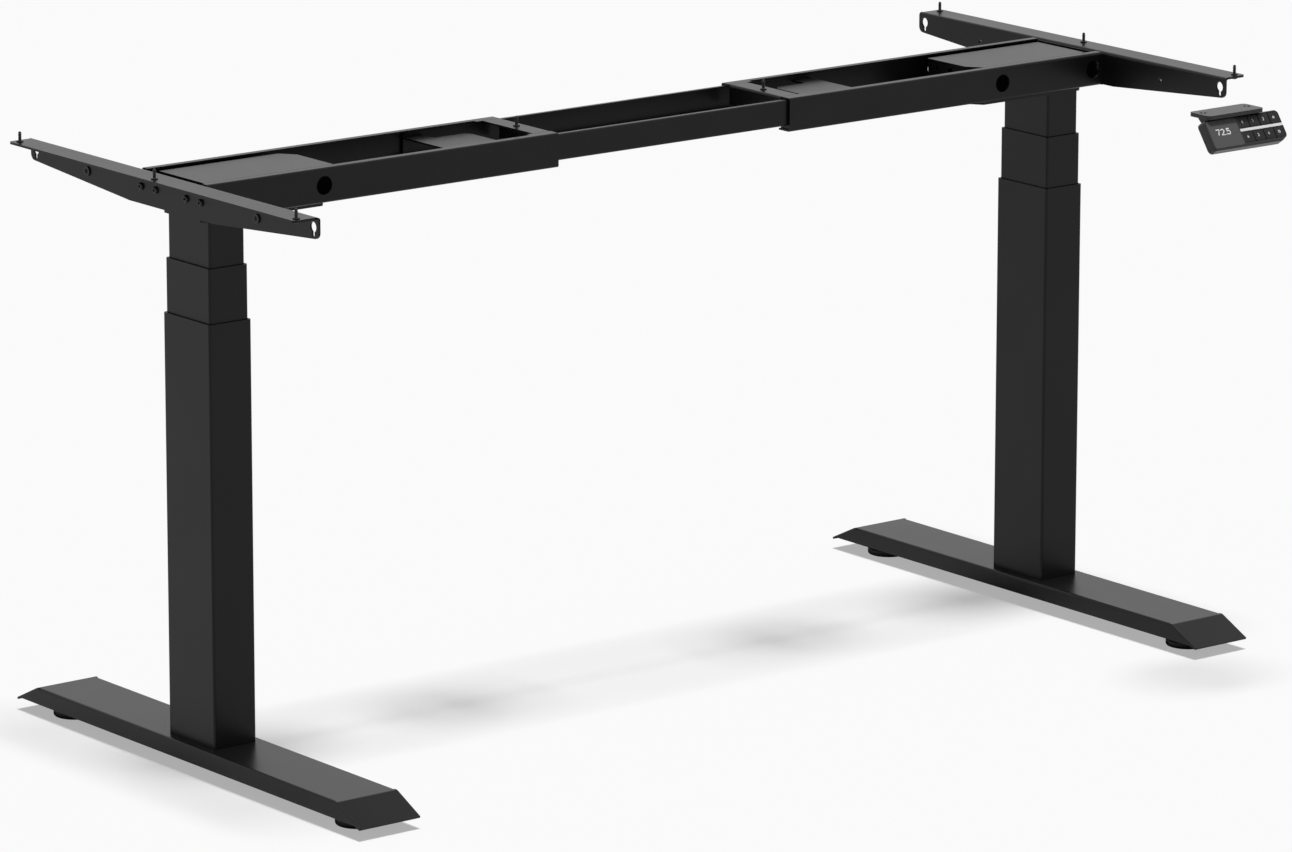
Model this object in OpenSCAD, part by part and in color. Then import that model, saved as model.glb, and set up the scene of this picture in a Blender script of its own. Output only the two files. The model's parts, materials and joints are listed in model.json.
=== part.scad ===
// Height-adjustable standing desk frame: two three-stage columns on folded feet, a top frame of
// telescoping C rails, and the handset that is screwed under the desktop beside it.
// Millimetres, +X right, +Y back, +Z up, floor at z = 0, origin in the middle of the plan.

/* [Columns] */
// Distance between the centres of the two columns, as photographed
column_spacing = 1150; // [1130:5:1190]
// Outer tube, measured across the desk
outer_tube_w = 53.2; // [50:0.2:58]
// Outer tube, measured front to back
outer_tube_d = 85; // [80:1:90]
// Wall of all three tubes
tube_wall = 1.5; // [1.2:0.1:1.8]
// Gap all round between one tube and the next
stage_gap = 0.75; // [0.7:0.05:1]
// Outside corner radius of each tube
tube_corner_r = 2.6; // [2:0.1:4]
// Length of the outer tube
outer_tube_len = 457.4; // [440:0.2:480]
// Length of the middle tube
mid_tube_len = 470; // [450:1:480]
// Length of the inner tube
inner_tube_len = 482; // [460:1:490]
// Middle tube that shows above the outer one
mid_show = 58.6; // [45:1:80]
// Inner tube that shows above the middle one
inner_show = 49.4; // [40:1:80]
// Thickness of the plates welded in the tube bottoms
tube_plate_t = 6; // [4:1:8]
// Height of the plastic sliding sleeves
liner_h = 60; // [40:5:80]

/* [Feet] */
// Height of the foot's top face
foot_top = 33; // [30:0.5:36]
// Width of the foot
foot_w = 77; // [70:1:84]
// Length of the foot's flat top
foot_flat_len = 557; // [540:1:580]
// How far each end flap slopes out past the flat top
flap_reach = 40; // [30:1:50]
// Depth of the foot's side walls, with the sheet
foot_side_h = 18.5; // [16:0.5:20]
// Sheet of the foot
foot_sheet = 2.5; // [2:0.1:3]
// Radius of the foot's long folds
foot_bend_r = 3; // [2.8:0.1:4]
// How far the tip of each end flap lies under the flat top
flap_drop = 19.2; // [17:0.2:20]
// Seam between the side walls and the end flaps
foot_seam = 0.4; // [0.3:0.1:0.8]
// Distance of each levelling glide from the column's centre
glide_reach = 262; // [240:1:270]
// Diameter of the glides
glide_d = 42; // [34:1:46]

/* [Top frame] */
// Height of the motor box, from its underside to its top plate
box_h = 42.8; // [41:0.5:46]
// Width of the motor box, front to back
box_d = 82; // [80:1:84]
// Top plate of the motor box, towards the middle from the column's centre
box_inward = 134; // [120:1:140]
// Top plate of the motor box, outwards from the column's centre
box_outward = 30; // [28:0.5:31]
// How far the motor box's top lies under the top of the frame
box_recess = 2.1; // [1:0.1:3]
// Sheet of the motor box, rails and strips
frame_sheet = 2; // [1.6:0.1:2.2]
// Height of the outer rails
rail_h = 37.4; // [36:0.1:39]
// Distance between the outer faces of the two outer rails
rail_spread = 120; // [118:1:124]
// Top flange of the outer rails
rail_top_flange = 10; // [8:0.5:11]
// Distance from the column's centre to an outer rail's inner end
rail_reach = 416; // [400:1:430]
// Outside radius of the rails' folds
rail_bend_r = 2.6; // [2.3:0.1:4]
// Diameter of the cable holes in the rails
cable_hole_d = 20; // [16:1:22]
// Length of the middle rails
mid_rail_len = 562; // [540:2:570]
// Play between a middle rail and the top flange above it
mid_rail_play = 0.2; // [0.2:0.1:0.5]
// Step from an outer rail's face in to a middle rail's face
mid_rail_step = 3.5; // [3.3:0.1:4]
// Gap under a middle rail, filled by its nylon pad
mid_rail_lift = 4.4; // [4:0.1:6]
// Top flange of the middle rails
mid_rail_top_flange = 6.5; // [5:0.5:7]
// Bottom flange of the middle rails
mid_rail_bottom_flange = 15; // [12:1:16]

/* [Side brackets] */
// Distance from the column's centre to the bracket's outer web face
bracket_reach = 43.5; // [42:0.5:47]
// Sheet of the brackets
bracket_sheet = 2.5; // [2:0.1:3]
// Width of the bracket's top flange, from the web's outer face
bracket_flange_w = 29.3; // [26:0.1:34]
// Length of the bracket's web
bracket_len = 526; // [500:2:560]
// Flat stretch of the web's lower edge, on each side of the middle
bracket_flat = 77; // [70:1:90]
// Rise of the web's lower edge at its ends
bracket_rise = 14.2; // [10:0.2:15]

/* [Screws and studs] */
// Radius of a desktop screw's shank
desk_screw_r = 2; // [1.5:0.1:2.5]
// How far the desktop screws stand above the frame
desk_screw_rise = 11; // [8:1:16]
// Distance of the outer desktop screws from the bracket's ends
desk_screw_inset = 10; // [8:1:20]
// Radius of a frame screw's shank
frame_screw_r = 2.5; // [2:0.1:2.8]
// Radius of a foot screw's shank
foot_screw_r = 3; // [2.5:0.1:3.5]

/* [Handset] */
// Length of the handset's body
handset_len = 110.4; // [110:0.2:120]
// Height of the handset's sloping face
handset_face_h = 36.4; // [36.4:0.2:42]
// Thickness of the handset's body
handset_t = 12; // [11:0.5:14]
// Slope of the face from level
handset_tilt = 55; // [50:1:70]
// Left end of the handset, from the middle of the desk
handset_x = 446; // [430:1:460]
// Face's upper edge, in front of the columns' centre line
handset_y = 412; // [400:1:430]
// Length of the handset's mounting plate
mount_plate_len = 81; // [78:1:90]
// Width of the handset's mounting plate
mount_plate_w = 33; // [30:1:36]
// Thickness of the handset's mounting plate
mount_plate_t = 4.3; // [3.5:0.1:5]
// Distance between the two mounting holes
mount_hole_pitch = 64; // [60:1:66]

/* [Hidden] */
$fn = 48;
cut = 1;                 // overrun of every cut
hole_play = 0.2;         // a hole's diameter over that of what it takes
left = -1;
right = 1;
powder_black = [0.05, 0.05, 0.052];
nylon_black = [0.08, 0.08, 0.085];
bare_steel = [0.62, 0.62, 0.64];
zinc = [0.5, 0.5, 0.48];
glossy_black = [0.03, 0.03, 0.035];

// Sizes of the three tubes, stage 0 outside
stage_step = 2 * (tube_wall + stage_gap);
function tube_w(stage) = outer_tube_w - stage * stage_step;
function tube_d(stage) = outer_tube_d - stage * stage_step;
liner_play = 0.25;
liner_inset = 0.6;

// Levels
outer_top = foot_top + outer_tube_len;
mid_top = outer_top + mid_show;
mid_bottom = mid_top - mid_tube_len;
box_bottom = mid_top + inner_show;
box_floor = box_bottom + frame_sheet;
box_top = box_bottom + box_h;
frame_top = box_top + box_recess;
inner_bottom = box_floor - inner_tube_len;
rail_bottom = frame_top - rail_h;

// Places along X, as distances from the middle of the desk
end_plate_t = 2.5;
column_x = column_spacing / 2;
box_in_x = column_x - box_inward;
box_out_x = column_x + box_outward;
bracket_face_x = column_x + bracket_reach;
bracket_in_x = bracket_face_x - bracket_sheet;
rail_out_x = bracket_in_x - end_plate_t;
rail_in_x = column_x - rail_reach;
rail_len = rail_out_x - rail_in_x;
bracket_edge_x = bracket_face_x + bracket_flange_w;

// Rails: places along Y are distances from the columns' centre line
rail_y = rail_spread / 2;
rail_web_y = rail_y - frame_sheet;
rail_bottom_flange = rail_y - box_d / 2;
mid_rail_y = rail_y - mid_rail_step;
mid_rail_bottom = rail_bottom + frame_sheet + mid_rail_lift;
mid_rail_top = frame_top - frame_sheet - mid_rail_play;
mid_rail_h = mid_rail_top - mid_rail_bottom;
cable_hole_in = 109;
cable_hole_out = 25.7;
pad_len = 25;
pad_inset = 2;
pad_play = 0.2;
pad_corner_gap = 0.3;
pad_edge_gap = 1;
pad_arm_gap = 4;

// Cross strip at the outer rails' inner ends
strip_w = 24;
strip_overhang = 1;
strip_in_x = rail_in_x - strip_overhang;
strip_seam = 0.5;
strip_tab = 5;
strip_tab_len = 31;
strip_half = rail_y - rail_top_flange - strip_tab - strip_seam;
strip_lip = 4.2;
strip_web_h = 22;
strip_screw_x = strip_in_x + strip_w / 2;

// Bridge plates between the middle rails
bridge_len = 70;
bridge_end = 25;
bridge_half = 33;
bridge_corner_r = 10;
bridge_drop = 5.6;
bridge_top = mid_rail_top - bridge_drop;

// Motor box, motor and gear case
box_lip = 1;
pan_in_run = 13;
pan_in_side = 17;
pan_out_cut = 8.4;
pan_top = rail_bottom + frame_sheet;
slot_w = 6;
slot_y = 3;
slot_rise = 4;
slot_drop = 6;
box_hole_r = 2;
box_hole_y = 26;
box_hole_drop = 9;
gear_case_w = 54;
gear_case_d = 66;
gear_case_h = 33;
motor_r = 17;
motor_end_gap = 16;
motor_lift = 1;

// Brackets and their screws
bracket_bend_r = 3.5;
bracket_corner_r = 7;
bracket_edge_r = 4;
flange_inset = 2;
screw_places = [-54.5, -28, 28, 54.5];
screw_z = rail_bottom + rail_h / 2;
screw_head_r = 4;
screw_head_h = 2.6;
screw_end = 2;
socket_r = 1.7;
socket_depth = 1.8;
rivet_inset = 108;
rivet_y = bracket_len / 2 - rivet_inset;
rivet_flange_r = 5;
rivet_flange_t = 1.6;
rivet_bore_r = 2.6;
rivet_wall = 1.2;
rivet_len = rivet_flange_t + bracket_sheet;
key_hole_inset = 9.5;
key_hole_y = bracket_len / 2 - key_hole_inset;
key_hole_r = 5.6;
key_slot_r = 2.5;
key_hole_drop = 11.1;
key_slot_len = 8.2;
key_hole_z = frame_top - key_hole_drop;
key_slot_z = key_hole_z - key_slot_len;

// Desktop screws
desk_screw_edge = 9;
desk_screw_reach = bracket_len / 2 - desk_screw_inset;
desk_screw_x = bracket_edge_x - desk_screw_edge;
desk_head_h = 2.2;
desk_ring_r = 3.8;
desk_ring_h = 1.2;

// Foot: seam, flap and screws
foot_half = foot_flat_len / 2 + flap_reach;
flap_slope = atan2(flap_drop, flap_reach);
flap_bend_r = 6;
flap_inset = 0.8;
flap_overlap = 2.5;
flat_half = foot_flat_len / 2;
flap_start = flat_half - flap_bend_r * tan(flap_slope / 2);
wall_top_half = flat_half - foot_sheet * tan(flap_slope / 2) - foot_seam / sin(flap_slope);
wall_low_half = wall_top_half + (foot_side_h - foot_sheet) / tan(flap_slope);
foot_screw_in_x = 9;
foot_screw_in_y = 10;
foot_screw_end = 2;
foot_head_r = 5.5;
foot_head_h = 3.2;
foot_socket_r = 2.3;
foot_socket_depth = 2;
foot_screw_places = [for (x = [-1, 1], y = [-1, 1])
    [x * (tube_w(0) / 2 - tube_wall - foot_screw_in_x),
        y * (tube_d(0) / 2 - tube_wall - foot_screw_in_y)]];

// Levelling glides and their weld nuts
glide_disc_h = 5.4;
glide_chamfer = 3;
glide_h = 9.5;
glide_neck_r = 11;
glide_neck_h = 3;
glide_stud_r = 4;
glide_stud_gap = 1;
weld_nut_h = 8;
weld_nut_r = 7.5;

// Spindles
base_screw_r = 6;
base_flange_r = 10;
base_flange_h = 4;
hollow_screw_r = 10;
hollow_nut_h = 4;
collar_r = 15;
collar_h = 8;
drive_tube_r = 14;
drive_nut_r = 17;
drive_nut_gap = 33.4;
drive_tube_rise = 24;
spindle_play = 0.4;
spindle_top_gap = 11;

// Handset, in the plane of its face
face_corner_r = 5;
face_edge_r = 1.6;
face_cut_run = 5.5;
face_cut_rise = 3;
face_gap = 0.6;
face_top_z = frame_top - mount_plate_t - face_gap;
case_lip = 1.4;
key_first = 56;
key_pitch = 15.2;
key_w = 14.2;
key_h = 13;
key_corner_r = 1.2;
key_t = 2.4;
key_sink = 0.4;
key_travel = 0.8;
key_floor_gap = 0.2;
key_play = 0.3;
key_rows = [8.4, 25.7];
keys_in_row = 4;
pocket_depth = key_t + key_sink + key_travel + key_floor_gap;
screen_left = 3.4;
screen_w = 42.4;
screen_h = 32;
screen_t = 1.2;
screen_corner_r = 3;

// Handset's mounting plate and the neck that joins it to the body
plate_overhang = 5.2;
plate_inset = 5.5;
plate_corner_r = 5;
plate_front = handset_y + plate_overhang;
plate_x = handset_x + plate_inset + mount_plate_len / 2;
plate_z = frame_top - mount_plate_t;
mount_hole_r = 2.5;
mount_sink_r = 4.2;
mount_hole_y = 19;
neck_inset = 4;
neck_front = handset_y - case_lip;
neck_depth = 15;
neck_back_h = 2;
neck_front_h = 3;
neck_root_h = 11;
neck_root = 6;

// The handset stands out in front, so the plan's middle lies in front of the columns
handset_front = handset_y + (handset_face_h - face_edge_r) * cos(handset_tilt);
column_y = (handset_front - foot_half) / 2;

SIDES = [["left", left], ["right", right]];
KEYS = ["up", "one", "two", "mode", "down", "three", "four", "clock"];
SIDE_NODES = [
    "foot", "foot_screws", "glide_front", "glide_back", "outer_tube", "outer_liner", "base_screw",
    "mid_tube", "mid_liner", "hollow_screw", "inner_tube", "drive_tube", "motor", "motor_box",
    "rail_front", "rail_back", "end_plate", "cross_strip", "rail_pads", "bracket",
    "bracket_screws", "rivet_nuts", "desktop_screws", "bridge_plate"
];

// Puts what is drawn for the right end at the chosen end of the desk
module at_end(side) {
    translate([0, column_y, 0])
        mirror([side == left ? 1 : 0, 0, 0])
            children();
}

// Origin on the column's centre line
module at_column(side) {
    at_end(side)
        translate([column_x, 0, 0])
            children();
}

// Front half as drawn, and its mirror image at the back
module front_or_back(back) {
    mirror([0, back ? 1 : 0, 0])
        children();
}

// A YZ outline carried along X
module along_x(len) {
    rotate([90, 0, 90])
        linear_extrude(len)
            children();
}

// An XZ outline carried along Y, centred
module along_y(len) {
    rotate([90, 0, 0])
        linear_extrude(len, center = true)
            children();
}

module rod_x(r, len) {
    rotate([0, 90, 0])
        cylinder(r = r, h = len);
}

// Rectangle with four round corners, centred
module round_rect(w, d, r) {
    square([w - 2 * r, d], center = true);
    square([w, d - 2 * r], center = true);
    for (x = [-1, 1], y = [-1, 1])
        translate([x * (w / 2 - r), y * (d / 2 - r)])
            circle(r);
}

// Quarter of a folded corner, centred on the fold's centre and bulging to -x -y
module fold(r, t) {
    intersection() {
        difference() {
            circle(r);
            circle(r - t);
        }
        translate([-r, -r])
            square(r);
    }
}

// C section: the web stands on x = 0, and the flanges reach to +x
module c_section(h, top_w, bottom_w, t, r) {
    translate([0, r])
        square([t, h - 2 * r]);
    translate([r, 0])
        square([bottom_w - r, t]);
    translate([r, h - t])
        square([top_w - r, t]);
    translate([r, r])
        fold(r, t);
    translate([r, h - r])
        mirror([0, 1])
            fold(r, t);
}

// L section: the web stands on x = 0 with its fold at the top, and the flange reaches to +x
module l_section(h, top_w, t, r) {
    square([t, h - r]);
    translate([r, h - t])
        square([top_w - r, t]);
    translate([r, h - r])
        mirror([0, 1])
            fold(r, t);
}

// Pan-head screw along +z: the head lies below z = 0 and the shank runs up
module pan_screw(r, len, head_r, head_h) {
    rotate_extrude()
        polygon([
            [0, -head_h], [0.75 * head_r, -head_h], [head_r, -0.6 * head_h], [head_r, 0],
            [r, 0], [r, len - r / 2], [r / 2, len], [0, len]
        ]);
}

module drive_socket(r, depth) {
    cylinder(r = r, h = depth, $fn = 6);
}

// Side view of the foot's top and side walls
module foot_walls_outline() {
    translate([-flap_start, foot_top - foot_sheet])
        square([2 * flap_start, foot_sheet]);
    polygon([
        [-wall_top_half, foot_top - foot_sheet], [wall_top_half, foot_top - foot_sheet],
        [wall_low_half, foot_top - foot_side_h], [-wall_low_half, foot_top - foot_side_h]
    ]);
}

// Side view of one face of the end flap, at a depth under its outer face: the fold, then the slope
function flap_line(depth) = concat(
    [[flap_start - flap_overlap, foot_top - depth]],
    [for (i = [0:4]) let (a = i / 4 * flap_slope)
        [flap_start + (flap_bend_r - depth) * sin(a),
            foot_top - flap_bend_r + (flap_bend_r - depth) * cos(a)]],
    [[foot_half - depth * sin(flap_slope), foot_top - flap_drop - depth * cos(flap_slope)]]
);

module end_flap() {
    outer = flap_line(0);
    inner = flap_line(foot_sheet);
    rotate([90, 0, 90])
        linear_extrude(foot_w - 2 * flap_inset, center = true)
            polygon(concat(outer, [for (i = [len(inner) - 1:-1:0]) inner[i]]));
}

// Folded foot: a channel open below, with a sloping flap over each end and two nuts inside
module foot(side) {
    color(powder_black)
        at_column(side)
            difference() {
                union() {
                    intersection() {
                        along_y(2 * foot_half)
                            translate([0, foot_top - foot_side_h])
                                channel_down(foot_w, foot_side_h, foot_sheet, foot_bend_r);
                        translate([-foot_w, 0, 0])
                            along_x(2 * foot_w)
                                foot_walls_outline();
                    }
                    for (back = [false, true])
                        front_or_back(!back)
                            end_flap();
                    for (y = [-glide_reach, glide_reach])
                        translate([0, y, foot_top - foot_sheet - weld_nut_h])
                            difference() {
                                cylinder(r = weld_nut_r, h = weld_nut_h, $fn = 6);
                                translate([0, 0, -cut])
                                    cylinder(r = glide_stud_r + hole_play / 2, h = weld_nut_h + cut);
                            }
                }
                for (p = foot_screw_places)
                    translate([p[0], p[1], foot_top - foot_sheet - cut])
                        cylinder(r = foot_screw_r + hole_play, h = foot_sheet + 2 * cut);
            }
}

// Channel open below: flat top, two walls down to y = 0, centred on x
module channel_down(w, h, t, r) {
    translate([-w / 2 + r, h - t])
        square([w - 2 * r, t]);
    for (s = [0, 1])
        mirror([s, 0]) {
            translate([w / 2 - t, 0])
                square([t, h - r]);
            translate([w / 2 - r, h - r])
                rotate(180)
                    fold(r, t);
        }
}

module foot_screws(side) {
    color(zinc)
        at_column(side)
            for (p = foot_screw_places)
                translate([p[0], p[1], foot_top - foot_sheet])
                    difference() {
                        pan_screw(foot_screw_r, foot_sheet + tube_plate_t + foot_screw_end,
                            foot_head_r, foot_head_h);
                        translate([0, 0, -foot_head_h - cut])
                            drive_socket(foot_socket_r, foot_socket_depth + cut);
                    }
}

// Levelling glide: round moulded base on a threaded stud
module glide(side, back) {
    r = glide_d / 2;
    edge = glide_chamfer;
    stud_top = foot_top - foot_sheet - glide_stud_gap;
    color(nylon_black)
        at_column(side)
            front_or_back(back)
                translate([0, -glide_reach, 0])
                    rotate_extrude()
                        polygon([
                            [0, 0], [r - edge, 0], [r - 0.3 * edge, 0.3 * edge], [r, edge],
                            [r, glide_disc_h], [r - 0.3 * edge, glide_disc_h + 0.3 * edge],
                            [glide_neck_r + edge, glide_h - 0.3 * edge],
                            [glide_neck_r, glide_h], [glide_neck_r, glide_h + glide_neck_h],
                            [glide_stud_r, glide_h + glide_neck_h],
                            [glide_stud_r, stud_top], [0, stud_top]
                        ]);
}

// One square tube of the column, from z = 0 up
module column_tube(stage, len) {
    w = tube_w(stage);
    d = tube_d(stage);
    linear_extrude(len)
        difference() {
            round_rect(w, d, tube_corner_r);
            round_rect(w - 2 * tube_wall, d - 2 * tube_wall, tube_corner_r - tube_wall);
        }
}

// Plate that fills a tube's bottom, with a round hole in its middle
module tube_plate(stage, hole_r) {
    difference() {
        translate([0, 0, tube_plate_t / 2])
            cube([tube_w(stage) - 2 * tube_wall, tube_d(stage) - 2 * tube_wall, tube_plate_t],
                center = true);
        translate([0, 0, -cut])
            cylinder(r = hole_r, h = tube_plate_t + 2 * cut);
    }
}

module outer_tube(side) {
    color(powder_black)
        at_column(side)
            translate([0, 0, foot_top]) {
                column_tube(0, outer_tube_len);
                difference() {
                    tube_plate(0, base_screw_r + hole_play / 2);
                    for (p = foot_screw_places)
                        translate([p[0], p[1], -cut])
                            cylinder(r = foot_screw_r + hole_play / 2, h = tube_plate_t + 2 * cut);
                }
            }
}

// Plastic sliding sleeve just under a tube's rim
module liner(stage, top) {
    w = tube_w(stage) - 2 * tube_wall;
    d = tube_d(stage) - 2 * tube_wall;
    t = stage_gap - liner_play;
    color(nylon_black)
        translate([0, 0, top - liner_h - liner_inset])
            linear_extrude(liner_h)
                difference() {
                    round_rect(w, d, tube_corner_r);
                    round_rect(w - 2 * t, d - 2 * t, tube_corner_r - t);
                }
}

module outer_liner(side) {
    at_column(side)
        liner(0, outer_top);
}

module mid_liner(side) {
    at_column(side)
        liner(1, mid_top);
}

// Screw that stands up from the base plate inside the column
module base_screw(side) {
    color(bare_steel)
        at_column(side)
            translate([0, 0, foot_top]) {
                cylinder(r = base_screw_r, h = outer_tube_len - spindle_top_gap);
                translate([0, 0, tube_plate_t])
                    cylinder(r = base_flange_r, h = base_flange_h);
            }
}

module mid_tube(side) {
    color(powder_black)
        at_column(side)
            translate([0, 0, mid_bottom]) {
                column_tube(1, mid_tube_len);
                tube_plate(1, hollow_screw_r + hole_play / 2);
            }
}

// Hollow screw carried by the middle tube's bottom plate
module hollow_screw(side) {
    color(bare_steel)
        at_column(side)
            translate([0, 0, mid_bottom - hollow_nut_h])
                difference() {
                    union() {
                        cylinder(r = hollow_screw_r, h = mid_tube_len + hollow_nut_h - spindle_top_gap);
                        translate([0, 0, hollow_nut_h + tube_plate_t])
                            cylinder(r = collar_r, h = collar_h);
                    }
                    translate([0, 0, -cut])
                        cylinder(r = base_screw_r + spindle_play, h = mid_tube_len + hollow_nut_h + 2 * cut);
                }
}

module inner_tube(side) {
    color(powder_black)
        at_column(side)
            translate([0, 0, inner_bottom])
                column_tube(2, inner_tube_len);
}

// Tube that the motor turns: its nut runs on the hollow screw
module drive_tube(side) {
    bottom = mid_bottom + tube_plate_t + collar_h + drive_nut_gap;
    color(bare_steel)
        at_column(side)
            translate([0, 0, bottom])
                difference() {
                    union() {
                        cylinder(r = drive_tube_r, h = box_floor + drive_tube_rise - bottom);
                        cylinder(r = drive_nut_r, h = collar_h);
                    }
                    translate([0, 0, -cut])
                        cylinder(r = hollow_screw_r + spindle_play, h = box_floor - bottom + cut);
                }
}

// Gear case over the spindle, with the motor lying towards the middle of the desk
module motor(side) {
    motor_len = box_inward - gear_case_w / 2 - motor_end_gap;
    color(zinc)
        at_column(side)
            translate([0, 0, box_floor])
                difference() {
                    union() {
                        translate([-gear_case_w / 2, -gear_case_d / 2, 0])
                            cube([gear_case_w, gear_case_d, gear_case_h]);
                        translate([-gear_case_w / 2 - motor_len, 0, motor_r + motor_lift])
                            rod_x(motor_r, motor_len + cut);
                    }
                    translate([0, 0, -cut])
                        cylinder(r = drive_tube_r + hole_play, h = drive_tube_rise + hole_play + cut);
                }
}

// Plan of the motor box below the rails, with its corners cut off
module pan_plan(inset) {
    y = box_d / 2 - inset;
    x0 = box_in_x + box_lip + inset;
    x1 = box_out_x - inset;
    run = pan_in_run - inset / 2;
    side = pan_in_side - inset / 2;
    out = pan_out_cut - inset / 2;
    polygon([
        [x0 + run, -y], [x1 - out, -y], [x1, -y + out], [x1, y - out],
        [x1 - out, y], [x0 + run, y], [x0, y - side], [x0, -y + side]
    ]);
}

// Plan of the box between the rails: square, with one corner of the inner end cut off
module box_plan(start_x, inset) {
    y = box_d / 2 - inset;
    x0 = start_x + inset;
    x1 = box_out_x - inset;
    run = pan_in_run - inset / 2;
    side = pan_in_side - inset / 2;
    polygon([[x0, -y + side], [x0 + run, -y], [x1, -y], [x1, y], [x0, y]]);
}

// Head of the column: a pan, walls between the rails, and a top plate. The left one is turned round
module motor_box(side) {
    t = frame_sheet;
    wall_x = box_in_x + box_lip;
    color(powder_black)
        at_end(side)
            mirror([0, side == left ? 1 : 0, 0])
                difference() {
                    union() {
                        translate([0, 0, box_bottom])
                            linear_extrude(pan_top - box_bottom)
                                pan_plan(0);
                        translate([0, 0, pan_top])
                            linear_extrude(box_top - t - pan_top)
                                box_plan(wall_x, 0);
                        translate([0, 0, box_top - t])
                            linear_extrude(t)
                                box_plan(box_in_x, 0);
                    }
                    translate([0, 0, box_floor])
                        linear_extrude(pan_top + t - box_floor)
                            pan_plan(t);
                    translate([0, 0, pan_top + t])
                        linear_extrude(box_top - 2 * t - pan_top)
                            box_plan(wall_x, t);
                    // seat of the inner tube in the floor
                    translate([column_x, 0, box_bottom - cut])
                        linear_extrude(t + 2 * cut)
                            round_rect(tube_w(2) + hole_play, tube_d(2) + hole_play, tube_corner_r);
                    // cable slot and screw hole in the inner end
                    translate([wall_x - cut, slot_y - slot_w / 2, pan_top + slot_rise])
                        cube([t + 2 * cut, slot_w, box_top - slot_drop - pan_top - slot_rise]);
                    translate([wall_x - cut, box_hole_y, box_top - box_hole_drop])
                        rod_x(box_hole_r, t + 2 * cut);
                }
}

module outer_rail(side, back) {
    hole_x = [column_x - cable_hole_in, column_x + cable_hole_out];
    color(powder_black)
        at_end(side)
            front_or_back(back)
                difference() {
                    union() {
                        translate([rail_in_x, -rail_y, rail_bottom])
                            along_x(rail_len)
                                c_section(rail_h, rail_top_flange, rail_bottom_flange,
                                    frame_sheet, rail_bend_r);
                        translate([rail_in_x, -rail_y + rail_top_flange - cut, frame_top - frame_sheet])
                            cube([strip_tab_len, strip_tab + cut, frame_sheet]);
                    }
                    for (x = hole_x)
                        translate([x, -rail_y - cut, rail_bottom + rail_h / 2])
                            rotate([-90, 0, 0])
                                cylinder(r = cable_hole_d / 2, h = frame_sheet + 2 * cut);
                }
}

// Plate across the rails' outer ends, which the bracket is screwed to
module end_plate(side) {
    color(powder_black)
        at_end(side)
            difference() {
                translate([rail_out_x, -rail_y, rail_bottom])
                    cube([end_plate_t, rail_spread, rail_h - frame_sheet]);
                screw_holes(frame_screw_r + hole_play / 2);
            }
}

module screw_holes(r) {
    for (y = screw_places)
        translate([rail_out_x - cut, y, screw_z])
            rod_x(r, end_plate_t + bracket_sheet + 2 * cut);
}

// Angle across the outer rails' inner ends, held by a lip under each rail's tab
module cross_strip(side) {
    lip_z = frame_top - 2 * frame_sheet;
    color(powder_black)
        at_end(side)
            difference() {
                union() {
                    translate([strip_in_x, 0, frame_top - strip_web_h])
                        along_y(2 * strip_half)
                            l_section(strip_web_h, strip_w, frame_sheet, rail_bend_r);
                    for (s = [0, 1])
                        mirror([0, s, 0])
                            translate([strip_in_x + rail_bend_r, strip_half - frame_sheet, lip_z])
                                cube([strip_w - rail_bend_r, strip_lip + frame_sheet, frame_sheet]);
                }
                translate([strip_screw_x, 0, lip_z - cut])
                    cylinder(r = desk_screw_r + hole_play, h = 2 * frame_sheet + 2 * cut);
            }
}

// Nylon pads that carry and steady a middle rail at the outer rail's mouth
module rail_pads(side) {
    floor_z = rail_bottom + frame_sheet;
    pad_w = rail_bottom_flange - frame_sheet - pad_edge_gap;
    pad_h = mid_rail_lift - pad_play;
    arm_t = mid_rail_step - frame_sheet - pad_play;
    arm_h = mid_rail_lift + mid_rail_h - pad_arm_gap;
    corner = rail_bend_r - frame_sheet + pad_corner_gap;
    color(nylon_black)
        at_end(side)
            for (back = [false, true])
                front_or_back(back)
                    translate([rail_in_x + pad_inset, -rail_web_y, floor_z])
                        along_x(pad_len)
                            polygon([
                                [corner, 0], [pad_w, 0], [pad_w, pad_h], [arm_t, pad_h],
                                [arm_t, arm_h], [0, arm_h], [0, corner]
                            ]);
}

// Outline of the bracket's web seen from the side: level in the middle, rising to rounded ends
module bracket_outline() {
    half = bracket_len / 2;
    r = bracket_corner_r;
    end_low = rail_bottom + bracket_rise;
    round_end = [for (i = [0:6]) let (a = i * 15)
        [half - r + r * cos(a), end_low + r - r * sin(a)]];
    right_half = concat([[half, frame_top]], round_end, [[bracket_flat, rail_bottom]]);
    polygon(concat(
        right_half,
        [for (i = [len(right_half) - 1:-1:0]) [-right_half[i][0], right_half[i][1]]]
    ));
}

// Plan of the bracket: full length at the web, a little shorter and rounded at the flange's edge
module bracket_plan() {
    flange_half = bracket_len / 2 - flange_inset;
    edge_x = bracket_edge_x - bracket_edge_r;
    translate([bracket_in_x, -bracket_len / 2])
        square([bracket_bend_r, bracket_len]);
    translate([bracket_in_x, -flange_half])
        square([edge_x - bracket_in_x, 2 * flange_half]);
    translate([edge_x, -flange_half + bracket_edge_r])
        square([bracket_edge_r, 2 * (flange_half - bracket_edge_r)]);
    for (s = [-1, 1])
        translate([edge_x, s * (flange_half - bracket_edge_r)])
            circle(bracket_edge_r);
}

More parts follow.
